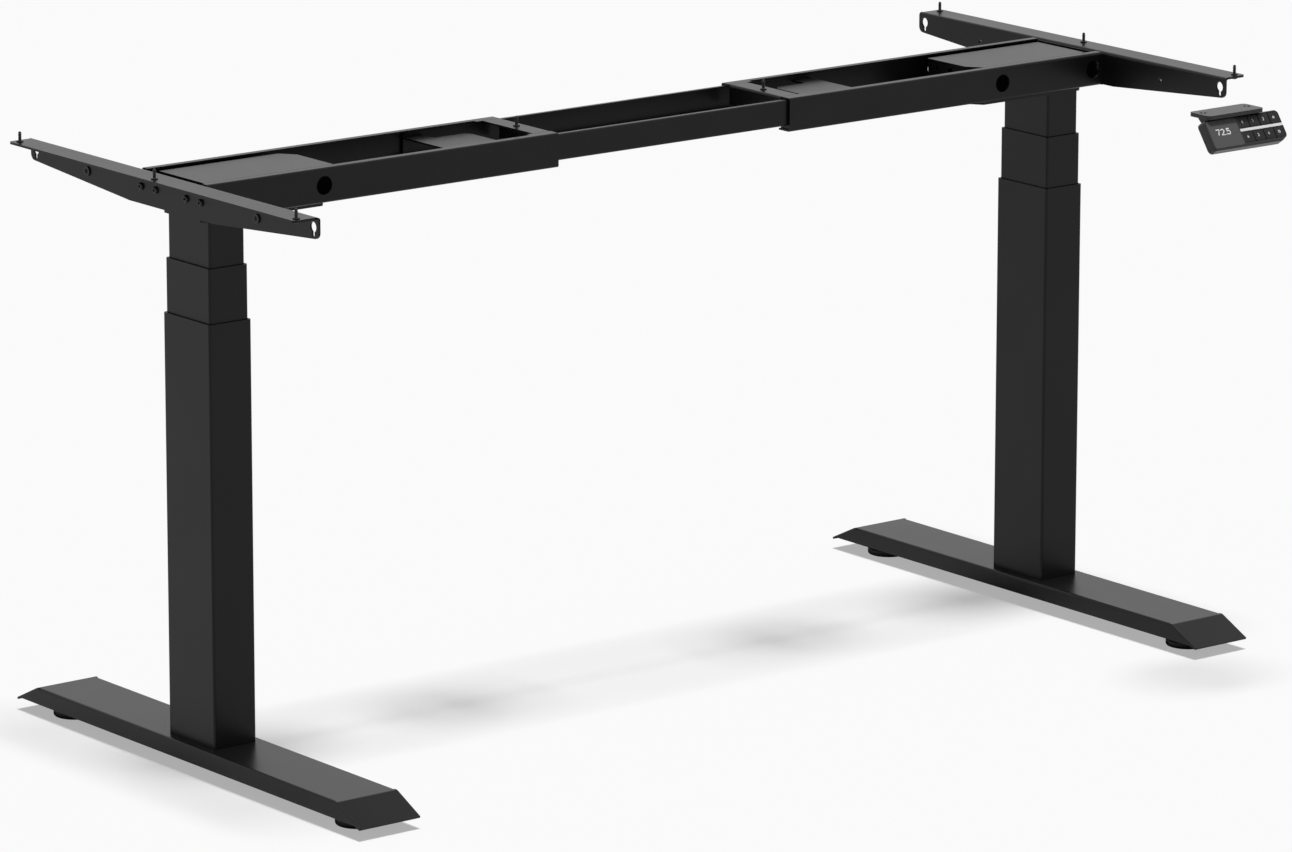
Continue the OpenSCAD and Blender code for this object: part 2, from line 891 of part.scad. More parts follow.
module bracket(side) {
    through = bracket_sheet + 2 * cut;
    color(powder_black)
        at_end(side)
            difference() {
                intersection() {
                    translate([bracket_in_x, 0, rail_bottom])
                        along_y(bracket_len)
                            l_section(rail_h, bracket_edge_x - bracket_in_x, bracket_sheet,
                                bracket_bend_r);
                    translate([bracket_in_x - cut, 0, 0])
                        along_x(bracket_edge_x - bracket_in_x + 2 * cut)
                            bracket_outline();
                    linear_extrude(frame_top + cut)
                        bracket_plan();
                }
                screw_holes(frame_screw_r + hole_play / 2);
                for (s = [-1, 1])
                    translate([bracket_in_x - cut, 0, 0]) {
                        translate([0, s * rivet_y, screw_z])
                            rod_x(rivet_bore_r + rivet_wall + hole_play / 2, through);
                        translate([0, s * key_hole_y, key_hole_z])
                            rod_x(key_hole_r, through);
                        translate([0, s * key_hole_y, key_slot_z])
                            rod_x(key_slot_r, through);
                        translate([0, s * key_hole_y - key_slot_r, key_slot_z])
                            cube([through, 2 * key_slot_r, key_slot_len]);
                    }
                for (y = [-desk_screw_reach, 0, desk_screw_reach])
                    translate([desk_screw_x, y, frame_top - bracket_sheet - cut])
                        cylinder(r = desk_screw_r + hole_play, h = through);
            }
}

module bracket_screws(side) {
    shank = bracket_sheet + end_plate_t + screw_end;
    color(zinc)
        at_end(side)
            for (y = screw_places)
                translate([bracket_face_x, y, screw_z])
                    rotate([0, -90, 0])
                        difference() {
                            pan_screw(frame_screw_r, shank, screw_head_r, screw_head_h);
                            translate([0, 0, -screw_head_h - cut])
                                drive_socket(socket_r, socket_depth + cut);
                        }
}

// Threaded inserts in the bracket's web, for a cross piece or a tray
module rivet_nuts(side) {
    color(zinc)
        at_end(side)
            for (s = [-1, 1])
                translate([bracket_face_x + rivet_flange_t, s * rivet_y, screw_z])
                    rotate([0, -90, 0])
                        difference() {
                            union() {
                                cylinder(r = rivet_flange_r, h = rivet_flange_t);
                                cylinder(r = rivet_bore_r + rivet_wall, h = rivet_len);
                            }
                            translate([0, 0, -cut])
                                cylinder(r = rivet_bore_r, h = rivet_len + 2 * cut);
                        }
}

// Screw that points up into the desktop, held by a rubber ring on the sheet
module desktop_screw(sheet) {
    translate([0, 0, -sheet])
        pan_screw(desk_screw_r, sheet + desk_screw_rise, desk_ring_r, desk_head_h);
    cylinder(r = desk_ring_r, h = desk_ring_h);
}

module desktop_screws(side) {
    color(zinc)
        at_end(side) {
            for (y = [-desk_screw_reach, 0, desk_screw_reach])
                translate([desk_screw_x, y, frame_top])
                    desktop_screw(bracket_sheet);
            translate([strip_screw_x, 0, frame_top])
                desktop_screw(frame_sheet);
        }
}

module middle_rail(back) {
    color(powder_black)
        translate([0, column_y, 0])
            front_or_back(back)
                translate([-mid_rail_len / 2, -mid_rail_y, mid_rail_bottom])
                    along_x(mid_rail_len)
                        c_section(mid_rail_h, mid_rail_top_flange, mid_rail_bottom_flange,
                            frame_sheet, rail_bend_r);
}

// T-shaped plate that ties the two middle rails together near their ends
module bridge_plate(side) {
    end_half = mid_rail_y - frame_sheet;
    end_x = mid_rail_len / 2;
    color(powder_black)
        at_end(side)
            translate([0, 0, bridge_top - frame_sheet])
                linear_extrude(frame_sheet) {
                    translate([end_x - bridge_end, -end_half])
                        square([bridge_end, 2 * end_half]);
                    translate([end_x - bridge_len / 2, 0])
                        round_rect(bridge_len, 2 * bridge_half, bridge_corner_r);
                }
}

// Origin at the upper left corner of the handset's face: x along it, y up it, z out of it
module on_face() {
    translate([handset_x, column_y - handset_y, face_top_z])
        rotate([handset_tilt, 0, 0])
            children();
}

// Outline of the face, drawn in by an inset: round corners, and the lower right one cut off
module face_outline(inset) {
    r = face_corner_r;
    right_x = handset_len - r;
    low_y = r - handset_face_h;
    hull()
        for (p = [[r, -r], [right_x, -r], [right_x, low_y + face_cut_rise],
                [right_x - face_cut_run, low_y], [r, low_y]])
            translate(p)
                circle(r - inset, $fn = 32);
}

module screen_outline() {
    translate([screen_left + screen_w / 2, -handset_face_h / 2])
        round_rect(screen_w, screen_h, screen_corner_r);
}

// One row's opening in the face, inside the case's rim
module key_row_outline(row) {
    reach = (keys_in_row - 1) * key_pitch + key_w + 2 * key_play;
    intersection() {
        face_outline(case_lip);
        translate([key_first - key_w / 2 - key_play, -key_rows[row] - key_h / 2 - key_play])
            square([reach, key_h + 2 * key_play]);
    }
}

module key_outline(i) {
    intersection() {
        face_outline(case_lip + key_play);
        translate([key_first + (i % keys_in_row) * key_pitch, -key_rows[floor(i / keys_in_row)]])
            round_rect(key_w, key_h, key_corner_r);
    }
}

// Moulded body: the face's outline, with its front and back edges rounded
module case_body() {
    hull()
        for (inset = [0, face_edge_r])
            translate([0, 0, face_edge_r - inset - handset_t])
                linear_extrude(handset_t - 2 * (face_edge_r - inset))
                    face_outline(inset);
}

// Side view of the neck between the mounting plate and the body
module neck_outline() {
    back = neck_front - neck_depth;
    polygon([
        [-neck_front, plate_z + mount_plate_t / 2], [-back, plate_z + mount_plate_t / 2],
        [-back, plate_z - neck_back_h], [neck_root - handset_y, plate_z - neck_root_h],
        [-neck_front, plate_z - neck_front_h]
    ]);
}

// Housing with its mounting plate: the plate carries the body by a sloping neck
module handset_case() {
    sink = mount_sink_r - mount_hole_r;
    color(nylon_black)
        difference() {
            union() {
                on_face()
                    case_body();
                translate([plate_x, column_y - plate_front + mount_plate_w / 2, plate_z])
                    linear_extrude(mount_plate_t)
                        round_rect(mount_plate_len, mount_plate_w, plate_corner_r);
                translate([plate_x - mount_plate_len / 2 + neck_inset, column_y, 0])
                    along_x(mount_plate_len - 2 * neck_inset)
                        neck_outline();
            }
            for (s = [-1, 1])
                translate([plate_x + s * mount_hole_pitch / 2, column_y - plate_front + mount_hole_y,
                        plate_z]) {
                    translate([0, 0, -cut])
                        cylinder(r = mount_hole_r, h = mount_plate_t + 2 * cut);
                    translate([0, 0, mount_plate_t - sink])
                        cylinder(r1 = mount_hole_r, r2 = mount_sink_r, h = sink);
                }
            on_face() {
                translate([0, 0, -screen_t])
                    linear_extrude(screen_t + cut)
                        screen_outline();
                for (row = [0, 1])
                    translate([0, 0, -pocket_depth])
                        linear_extrude(pocket_depth + cut)
                            key_row_outline(row);
            }
        }
}

module handset_screen() {
    color(glossy_black)
        on_face()
            translate([0, 0, -screen_t])
                linear_extrude(screen_t)
                    screen_outline();
}

module key_cap(i) {
    color(nylon_black)
        on_face()
            translate([0, 0, -key_sink - key_t])
                linear_extrude(key_t)
                    key_outline(i);
}

for (side = SIDES) {
    end = side[1];
    name = side[0];
    foot(end);
    foot_screws(end);
    glide(end, false);
    glide(end, true);
    outer_tube(end);
    outer_liner(end);
    base_screw(end);
    mid_tube(end);
    mid_liner(end);
    hollow_screw(end);
    inner_tube(end);
    drive_tube(end);
    motor(end);
    motor_box(end);
    outer_rail(end, false);
    outer_rail(end, true);
    end_plate(end);
    cross_strip(end);
    rail_pads(end);
    bracket(end);
    bracket_screws(end);
    rivet_nuts(end);
    desktop_screws(end);
    bridge_plate(end);
}
middle_rail(false);  // middle_rail_front
middle_rail(true);  // middle_rail_back
handset_case();
handset_screen();
for (i = [0:len(KEYS) - 1])
    key_cap(i);
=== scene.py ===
# %% [markdown]
# # A standing desk frame in powder-coated steel
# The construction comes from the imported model: 60 nodes on jointed bodies. This lesson gives them
# their finish, adds the small turned, moulded, welded and printed pieces, and sets up a bright
# product picture. Lengths are in metres, in the frame's own axes: +X right, +Y back, +Z up. Only
# the handset's face is drawn in millimetres.

# %% Load the frame
import json
from math import cos, pi, radians, sin

import bpy
import numpy as np
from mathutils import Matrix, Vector


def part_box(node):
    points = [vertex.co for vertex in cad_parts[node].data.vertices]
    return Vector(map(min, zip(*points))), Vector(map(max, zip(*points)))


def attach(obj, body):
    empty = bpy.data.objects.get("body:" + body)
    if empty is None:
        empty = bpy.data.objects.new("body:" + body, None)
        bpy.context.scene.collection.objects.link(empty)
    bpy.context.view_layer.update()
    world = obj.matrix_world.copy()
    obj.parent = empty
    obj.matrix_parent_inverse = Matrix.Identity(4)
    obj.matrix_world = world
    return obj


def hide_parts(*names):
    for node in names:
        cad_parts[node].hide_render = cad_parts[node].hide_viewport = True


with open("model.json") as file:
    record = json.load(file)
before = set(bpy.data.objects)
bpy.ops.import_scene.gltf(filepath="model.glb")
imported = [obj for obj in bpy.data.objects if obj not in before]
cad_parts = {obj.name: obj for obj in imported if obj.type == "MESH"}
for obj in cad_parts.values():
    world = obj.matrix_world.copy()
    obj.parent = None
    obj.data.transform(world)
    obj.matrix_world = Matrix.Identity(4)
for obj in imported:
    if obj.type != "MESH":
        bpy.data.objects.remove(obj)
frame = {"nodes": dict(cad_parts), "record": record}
nodes = frame["nodes"]
slot_of = {row["node"]: row["material_slot"] for row in frame["record"]["subparts"]}
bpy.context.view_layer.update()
MM = 0.001
SIDES = {"left": -1, "right": 1}
COLUMN_Y = (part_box("left_outer_tube")[0].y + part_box("left_outer_tube")[1].y) / 2
FRAME_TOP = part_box("left_bracket")[1].z
print("Columns' centre line at y", round(COLUMN_Y / MM, 2), "and frame top at", round(FRAME_TOP / MM, 2))

# %% [markdown]
# ## Shader maths as Python
# A material is a small formula: a dark tone, plus a little grain, plus a slow drift. Wiring that by
# hand takes many Math nodes, so one class wraps a socket and lets Python's own operators add them.
# Colours go through a Mix node, because a Math node would turn them grey.

# %% Socket wrapper
NOISE_DETAIL = 2.0


class Socket:
    """One output socket of a material's node tree; + - * on it add Math nodes."""

    def __init__(self, tree, socket):
        self.tree = tree
        self.socket = socket

    def node(self, kind, settings=None, output=0, **inputs):
        """Adds a node of a type, sets its settings, then fills its sockets with values or links."""
        made = self.tree.nodes.new(kind)
        for key, value in (settings or {}).items():
            setattr(made, key, value)
        for key, value in inputs.items():
            name = key.replace("_", " ")
            target = made.inputs[int(key[1:])] if key[0] == "i" and key[1:].isdigit() else made.inputs[name]
            self.feed(target, value)
        return Socket(self.tree, made.outputs[output])

    def feed(self, target, value):
        if isinstance(value, Socket):
            self.tree.links.new(value.socket, target)
        else:
            target.default_value = value

    def math(self, operation, a, b):
        return self.node("ShaderNodeMath", {"operation": operation}, i0=a, i1=b)

    def __add__(self, other):
        return self.math("ADD", self, other)

    def __radd__(self, other):
        return self.math("ADD", other, self)

    def __sub__(self, other):
        return self.math("SUBTRACT", self, other)

    def __rsub__(self, other):
        return self.math("SUBTRACT", other, self)

    def __mul__(self, other):
        return self.math("MULTIPLY", self, other)

    def __rmul__(self, other):
        return self.math("MULTIPLY", other, self)

    def between(self, low, high):
        """0 below low, 1 above high, and a smooth step from one to the other."""
        return self.node("ShaderNodeMapRange", {"interpolation_type": "SMOOTHSTEP"},
                         Value=self, From_Min=low, From_Max=high)

    def blend(self, first, second):
        """A colour that goes from first to second as this value goes from 0 to 1."""
        return self.node("ShaderNodeMix", {"data_type": "RGBA"}, 2, i0=self, i6=first, i7=second)


def new_material(name):
    """A material with its Principled shader, and a socket with the piece's own coordinates."""
    made = bpy.data.materials.new(name)
    made.use_nodes = True
    tree = made.node_tree
    shader = tree.nodes["Principled BSDF"]
    spot = tree.nodes.new("ShaderNodeTexCoord")
    return made, shader, Socket(tree, spot.outputs["Object"])


def noise(spot, size):
    """Noise whose blotches are about size metres across."""
    return spot.node("ShaderNodeTexNoise", Vector=spot, Scale=1 / size, Detail=NOISE_DETAIL)


def add_bump(spot, shader, height, strength, depth):
    """Lets a height, 0 to 1, tilt the surface as if it stood out by up to a depth."""
    bump = spot.node("ShaderNodeBump", Height=height, Strength=strength, Distance=depth)
    spot.feed(shader.inputs["Normal"], bump)

# %% [markdown]
# ## Powder coat
# The steel is coated with a fine-textured black powder: satin, not glossy, with a skin like very fine
# sandpaper. Two noises make the bump, one for the grain and one for the slow orange peel, and a wide
# one shifts the tone so slightly that it is only felt. A low specular level keeps the upright faces
# near black, while the level ones still catch the white of the studio at a grazing angle.

# %% Powder coat
COAT_GRAIN, COAT_PEEL, COAT_DRIFT = 0.55 * MM, 2.6 * MM, 90 * MM
COAT_DARK, COAT_PALE = (0.0040, 0.0040, 0.0042, 1), (0.0058, 0.0058, 0.0060, 1)
COAT_ROUGHNESS, COAT_SPECULAR = 0.25, 0.17
COAT_BUMP, COAT_DEPTH = 0.35, 0.06 * MM


def powder_coat():
    made, shader, spot = new_material("powder_coat")
    drift = noise(spot, COAT_DRIFT)
    grain = noise(spot, COAT_GRAIN)
    peel = noise(spot, COAT_PEEL)
    spot.feed(shader.inputs["Base Color"], drift.between(0.35, 0.65).blend(COAT_DARK, COAT_PALE))
    spot.feed(shader.inputs["Roughness"], COAT_ROUGHNESS + 0.08 * grain + 0.05 * drift)
    shader.inputs["Specular IOR Level"].default_value = COAT_SPECULAR
    add_bump(spot, shader, grain + 0.8 * peel, COAT_BUMP, COAT_DEPTH)
    return made

# %% [markdown]
# ## Metals and plastics
# The rest is black-plated screws, moulded plastic, and out of sight the bare steel and the motors'
# cases. One recipe serves them all: a tone with a fine speck in it, a roughness that follows the
# speck, and a shallow bump. What tells them apart is the tone, the gloss and the depth of the bump.

# %% Metals and plastics
SPECK_SIZE = 0.4 * MM
SPECK_TONE, SPECK_GLOSS, SPECK_BUMP = 0.8, 0.1, 0.3


def moulded(name, color, roughness, metallic=0.0, specular=0.3, depth=0.02 * MM):
    """A finish of one tone with a fine speck, which also moves its gloss and its bump."""
    made, shader, spot = new_material(name)
    speck = noise(spot, SPECK_SIZE)
    darker = tuple(SPECK_TONE * c for c in color)
    spot.feed(shader.inputs["Base Color"], speck.between(0.3, 0.7).blend((*darker, 1), (*color, 1)))
    spot.feed(shader.inputs["Roughness"], roughness - SPECK_GLOSS / 2 + SPECK_GLOSS * speck)
    shader.inputs["Metallic"].default_value = metallic
    shader.inputs["Specular IOR Level"].default_value = specular
    add_bump(spot, shader, speck, SPECK_BUMP, depth)
    return made


FINISHES = {
    "powder_coat": powder_coat(),
    "zinc_plate": moulded("zinc_plate", (0.022, 0.022, 0.023), 0.38, 0.5),
    "bare_steel": moulded("bare_steel", (0.5, 0.5, 0.5), 0.35, 1.0),
    "motor_case": moulded("motor_case", (0.12, 0.12, 0.12), 0.6, 0.6),
    "nylon": moulded("nylon", (0.012, 0.012, 0.012), 0.5),
    "glide_plastic": moulded("glide_plastic", (0.008, 0.008, 0.008), 0.45, specular=0.2),
    "handset_plastic": moulded("handset_plastic", (0.016, 0.016, 0.017), 0.36),
    "handset_window": moulded("handset_window", (0.1, 0.1, 0.103), 0.45, specular=0.15, depth=0.005 * MM),
    "key_plastic": moulded("key_plastic", (0.024, 0.024, 0.025), 0.42, specular=0.15),
}
WHITE_PRINT = moulded("white_print", (0.9, 0.9, 0.9), 0.6, depth=0.002 * MM)
for name, thing in nodes.items():
    thing.data.materials.clear()
    thing.data.materials.append(FINISHES[slot_of[name]])
print("Finishes:", ", ".join(FINISHES))

# %% [markdown]
# ## Surfaces from arrays
# Every new piece here is a stack of closed rings: a turned screw, a weld, a key cap, a printed stroke.
# The rings are one array of rows by points by three, worked out at once, and one function joins each
# ring to the next and closes both ends with a pole.

# %% Rings to a mesh
LONGEST_SHARE = 0.45
RIDGE_SHARE = 0.32
TURNED_POINTS, ROWS_A_TURN = 48, 10


def loft(rings):
    """Corners and faces of a closed skin over rings (rows, points, 3). Quad (r, c) joins point c and
    c + 1 of ring r to the same points of ring r + 1; a pole at each end's middle closes it."""
    rows, points = rings.shape[:2]
    row = np.arange(rows - 1)[:, None] * points
    here = np.arange(points)
    after = (here + 1) % points
    quads = np.stack([row + here, row + after, row + points + after, row + points + here], -1)
    low_pole = rows * points
    high_pole = low_pole + 1
    last = (rows - 1) * points
    low = np.stack([np.full(points, low_pole), after, here], -1)
    high = np.stack([np.full(points, high_pole), last + here, last + after], -1)
    corners = np.concatenate([rings.reshape(-1, 3), rings[0].mean(0)[None], rings[-1].mean(0)[None]])
    return corners, quads.reshape(-1, 4).tolist() + low.tolist() + high.tolist()


def make_piece(name, skins, slot, body, finish=None, replaces=None, smooth=True):
    """One object from several closed skins, with its finish, on its body. The finish is the slot's own
    unless another is given.
    """
    corners, faces, start = [], [], 0
    for skin_corners, skin_faces in skins:
        corners.append(skin_corners)
        faces += [[start + i for i in face] for face in skin_faces]
        start += len(skin_corners)
    mesh = bpy.data.meshes.new(name)
    mesh.from_pydata(np.concatenate(corners).tolist(), [], faces)
    mesh.polygons.foreach_set("use_smooth", np.full(len(faces), smooth))
    mesh.materials.append(finish or FINISHES[slot])
    piece = bpy.data.objects.new(name, mesh)
    bpy.context.scene.collection.objects.link(piece)
    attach(piece, body)
    if replaces:
        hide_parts(replaces)
    return piece


def soften(points, reach, steps=4):
    """A profile with its inner corners rounded: each corner P becomes a curve that starts and ends
    reach away from P, B(t) = (1-t)^2 A + 2t(1-t) P + t^2 C, with A and C on the two sides. Neither
    lies further along a side than the longest share of it, so that two corners' curves never meet."""
    p = np.array(points, float)
    before, corner, after = p[:-2], p[1:-1], p[2:]
    to_before = before - corner
    to_after = after - corner
    long_before = np.linalg.norm(to_before, axis=1, keepdims=True)
    long_after = np.linalg.norm(to_after, axis=1, keepdims=True)
    a = corner + to_before * np.minimum(reach / long_before, LONGEST_SHARE)
    c = corner + to_after * np.minimum(reach / long_after, LONGEST_SHARE)
    t = np.linspace(0, 1, steps + 1)[None, :, None]
    bends = (1 - t) ** 2 * a[:, None] + 2 * t * (1 - t) * corner[:, None] + t ** 2 * c[:, None]
    return np.concatenate([p[:1], bends.reshape(-1, 2), p[-1:]])


def turned(profile):
    """Rings of a turned shape: each (radius, height) of the profile swept once round +Z."""
    angle = np.arange(TURNED_POINTS) / TURNED_POINTS * 2 * pi
    radius = profile[:, :1]
    height = np.repeat(profile[:, 1:], TURNED_POINTS, 1)
    return np.stack([radius * np.cos(angle), radius * np.sin(angle), height], -1)


def thread(core, crest, pitch, low, high, run_out):
    """Rings of a screw thread. The radius is core + (crest - core) * ridge, where ridge is a peak at
    the middle of frac(z / pitch - angle / 2 pi). It reaches the ridge's share of a pitch to both
    sides, and fades to nothing over run_out at both ends."""
    angle = np.arange(TURNED_POINTS) / TURNED_POINTS * 2 * pi
    z = np.linspace(low, high, int((high - low) / pitch * ROWS_A_TURN))[:, None]
    place = (z / pitch - angle / (2 * pi)) % 1
    ridge = np.clip(1 - np.abs(place - 0.5) / RIDGE_SHARE, 0, 1)
    fade = np.clip((z - low) / run_out, 0, 1) * np.clip((high - z) / run_out, 0, 1)
    radius = core + (crest - core) * ridge * fade
    return np.stack([radius * np.cos(angle), radius * np.sin(angle), z + 0 * angle], -1)

# %% [markdown]
# ## Desktop screws
# Eight wood screws stand up out of the frame, ready for the desktop. Each has a pan head with a cross
# recess below the sheet, a rubber ring that keeps it from falling out, and a thread. The recess is
# pressed into the head as a formula: a depth wherever the point lies inside one of two crossing arms.

# %% Desktop screws
SHEET = {"bracket": 2.5 * MM, "strip": 2.0 * MM}
HEAD_R, HEAD_H = 3.8 * MM, 2.2 * MM
RING_R, RING_H = 3.8 * MM, 1.2 * MM
SHANK_R, CORE_R, CREST_R = 1.85 * MM, 1.5 * MM, 2.05 * MM
SCREW_RISE, SCREW_PITCH, SCREW_TIP = 11 * MM, 1.7 * MM, 1.0 * MM
RECESS_ARM, RECESS_REACH, RECESS_DEPTH = 0.42 * MM, 1.9 * MM, 1.2 * MM
ARM_FADE, REACH_FADE = 0.3, 0.1
SCREW_EDGE, TIP_EDGE, SCREW_RUN_OUT = 0.45 * MM, 0.3 * MM, 1.2 * MM
RING_GAP, THREAD_GAP = 0.02 * MM, 0.05 * MM
HEAD_RINGS = 12


def cross_recess(rings):
    """Pushes a head's underside up by the recess depth inside two crossing arms: a point counts as
    inside when its smaller distance from the X and Y axes is under the arm's half width. The depth
    fades over a share of the arm's half width and of its reach."""
    x, y = rings[..., 0], rings[..., 1]
    across = np.minimum(np.abs(x), np.abs(y))
    inside = np.clip((RECESS_ARM - across) / (ARM_FADE * RECESS_ARM) + 0.5, 0, 1)
    reach = np.clip((RECESS_REACH - np.hypot(x, y)) / (REACH_FADE * RECESS_REACH) + 0.5, 0, 1)
    raised = rings.copy()
    raised[..., 2] += RECESS_DEPTH * inside * reach
    return raised


def desktop_screw(sheet):
    """Rings of one screw from the head's underside up to its tip, with z = 0 on top of the sheet."""
    low = -sheet - HEAD_H
    flat = np.stack([np.linspace(0.1, 0.72, HEAD_RINGS) * HEAD_R, np.full(HEAD_RINGS, low)], -1)
    head = soften([(0.74 * HEAD_R, low), (0.95 * HEAD_R, low + 0.35 * HEAD_H), (HEAD_R, -sheet),
                   (SHANK_R, -sheet), (SHANK_R, RING_GAP), (RING_R, RING_GAP), (RING_R, RING_H),
                   (CORE_R, RING_H)], SCREW_EDGE)
    shank = thread(CORE_R, CREST_R, SCREW_PITCH, RING_H + THREAD_GAP, SCREW_RISE - SCREW_TIP,
                   SCREW_RUN_OUT)
    tip = soften([(CORE_R, SCREW_RISE - 0.9 * SCREW_TIP), (0.9 * CORE_R, SCREW_RISE - 0.3 * SCREW_TIP),
                  (0.3 * CORE_R, SCREW_RISE)], TIP_EDGE)
    return np.concatenate([cross_recess(turned(flat)), turned(head), shank, turned(tip)])


bracket_screw, strip_screw = desktop_screw(SHEET["bracket"]), desktop_screw(SHEET["strip"])
for side, sign in SIDES.items():
    low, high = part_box(f"{side}_desktop_screws")
    outer_x = (high.x - HEAD_R) if sign > 0 else (low.x + HEAD_R)
    inner_x = (low.x + HEAD_R) if sign > 0 else (high.x - HEAD_R)
    reach = (high.y - low.y) / 2 - HEAD_R
    places = [(bracket_screw, outer_x, -reach), (bracket_screw, outer_x, 0),
              (bracket_screw, outer_x, reach), (strip_screw, inner_x, 0)]
    skins = [loft(rings + np.array([x, COLUMN_Y + y, FRAME_TOP])) for rings, x, y in places]
    make_piece(f"{side}_wood_screws", skins, "zinc_plate", f"{side}_end_frame",
               replaces=f"{side}_desktop_screws")
    print(side, "desktop screws at x", round(outer_x / MM, 1), "and", round(inner_x / MM, 1), "mm")

# %% [markdown]
# ## Levelling glides
# A glide is a moulded dish on a threaded stud, which turns in the nut under the foot. It is a turned
# shape with soft edges, and the same thread function cuts its stud.

# %% Levelling glides
GLIDE_R, DISH_H, GLIDE_H = 24 * MM, 7.4 * MM, 10.4 * MM
NECK_R, NECK_H = 11 * MM, 2.1 * MM
STUD_CORE, STUD_CREST, STUD_PITCH = 3.35 * MM, 4.0 * MM, 1.25 * MM
GLIDE_EDGE, STUD_RUN_OUT, STUD_GAP = 1.6 * MM, 0.8 * MM, 0.1 * MM


def glide(stud_top):
    """Rings of a glide from its underside to the end of its stud. The profile's first point stands
    twice, which gives the flat underside a few close rings, and the doubled start is left out."""
    dish = soften([(0.2 * GLIDE_R, 0.0), (0.2 * GLIDE_R, 0.0), (0.95 * GLIDE_R, 0.0),
                   (GLIDE_R, 0.2 * DISH_H), (GLIDE_R, DISH_H), (0.6 * GLIDE_R, GLIDE_H),
                   (NECK_R, GLIDE_H), (NECK_R, GLIDE_H + NECK_H), (STUD_CORE, GLIDE_H + NECK_H)],
                  GLIDE_EDGE, 6)[2:]
    stud = thread(STUD_CORE, STUD_CREST, STUD_PITCH, GLIDE_H + NECK_H + STUD_GAP, stud_top, STUD_RUN_OUT)
    return np.concatenate([turned(dish), stud])


for side in SIDES:
    for end in ("front", "back"):
        low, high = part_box(f"{side}_glide_{end}")
        place = np.array([(low.x + high.x) / 2, (low.y + high.y) / 2, 0])
        make_piece(f"{side}_{end}_levelling_glide", [loft(glide(high.z) + place)], "glide_plastic",
                   f"{side}_{end}_glide", replaces=f"{side}_glide_{end}")
print("Glides to z", round(high.z / MM, 1), "mm")

# %% [markdown]
# ## Corner welds
# The sloping flaps at the feet's ends are welded along both edges and ground before coating, so that
# no gap shows there. A weld is a narrow strip with one softened edge. Its cross-section is drawn as
# (distance from the foot's middle, depth under the flap's face) and follows the fold and the slope.
# The flap's reach, drop and bend are the foot's own.

# %% Corner welds
FLAP_REACH, FLAP_DROP, FLAP_LEAD, FLAP_BEND = 40 * MM, 19.2 * MM, 3 * MM, 1.4 * MM
WELD_W, WELD_DEPTH, WELD_PROUD, WELD_EDGE = 1.6 * MM, 3.4 * MM, 0.04 * MM, 1.2 * MM
WELD_FREE_SHARE, WELD_END_SHARE = 0.17, 0.7


def corner_weld(half_width, half_length, top):
    """Rings of the weld at +x and +y. At each point of the path the depth is measured along the
    normal n = (-dz, dy) / |d|, where d is the path's direction. Past the end of the foot's wall,
    over the free share of the slope, the weld thins out to the flap's own thickness."""
    fold, end = np.array([(half_length - FLAP_REACH, top), (half_length, top - FLAP_DROP)])
    bent = soften([fold - (FLAP_LEAD, 0), fold, end], FLAP_BEND)
    path = np.concatenate([bent[:-1], [end + (fold - end) * WELD_FREE_SHARE, end]])
    thinning = np.ones((len(path), 1, 1))
    thinning[-1] = WELD_END_SHARE
    outside = half_width + WELD_PROUD
    face = soften([(half_width - WELD_W, -WELD_PROUD), (outside, -WELD_PROUD), (outside, WELD_DEPTH)],
                  WELD_EDGE, 8)
    section = np.concatenate([face, [(half_width - WELD_W, WELD_DEPTH)]])
    d = np.gradient(path, axis=0)
    normal = np.stack([-d[:, 1], d[:, 0]], -1) / np.linalg.norm(d, axis=1, keepdims=True)
    x = np.broadcast_to(section[:, 0], (len(path), len(section)))
    yz = path[:, None] - section[None, :, 1:] * thinning * normal[:, None]
    return np.concatenate([x[..., None], yz], -1)


for side in SIDES:
    low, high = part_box(f"{side}_foot")
    middle = np.array([(low.x + high.x) / 2, (low.y + high.y) / 2, 0])
    weld = corner_weld((high.x - low.x) / 2, (high.y - low.y) / 2, high.z)
    skins = []
    for turn_x, turn_y in ((1, 1), (-1, 1), (-1, -1), (1, -1)):
        rings = weld * np.array([turn_x, turn_y, 1]) + middle
        skins.append(loft(rings if turn_x == turn_y else rings[:, ::-1]))
    make_piece(f"{side}_foot_welds", skins, slot_of[f"{side}_foot"], f"{side}_base", smooth=False)
print("Welds:", len(skins), "on each foot")

# %% [markdown]
# ## The handset's face
# Everything on the handset is placed on its sloping face: u runs along it from its left edge, v runs
# up it, and w stands out of it. One function turns such a place into the frame's own axes, so keys,
# readout and print are drawn flat and land on the slope together.

# %% Places on the face
FACE_TILT = radians(55)
FACE_LEFT, FACE_FRONT, FACE_TOP = 446 * MM, 412 * MM, 638.4 * MM


def on_face(places):
    """(u, v, w) in mm to x, y, z: x = left + u, y = the columns' line - front + v cos - w sin,
    z = top + v sin + w cos, with the cos and sin of the face's slope."""
    u, v, w = np.moveaxis(np.asarray(places, float), -1, 0) * MM
    return np.stack([FACE_LEFT + u, COLUMN_Y - FACE_FRONT + v * cos(FACE_TILT) - w * sin(FACE_TILT),
                     FACE_TOP + v * sin(FACE_TILT) + w * cos(FACE_TILT)], -1)

# %% [markdown]
# ## Keys
# Eight caps in two rows of four sit just below the face. Each is a stack of the same rounded outline:
# drawn in a little at the top edge, so that the light finds it. The caps at the right end have one
# larger corner, where they follow the housing.

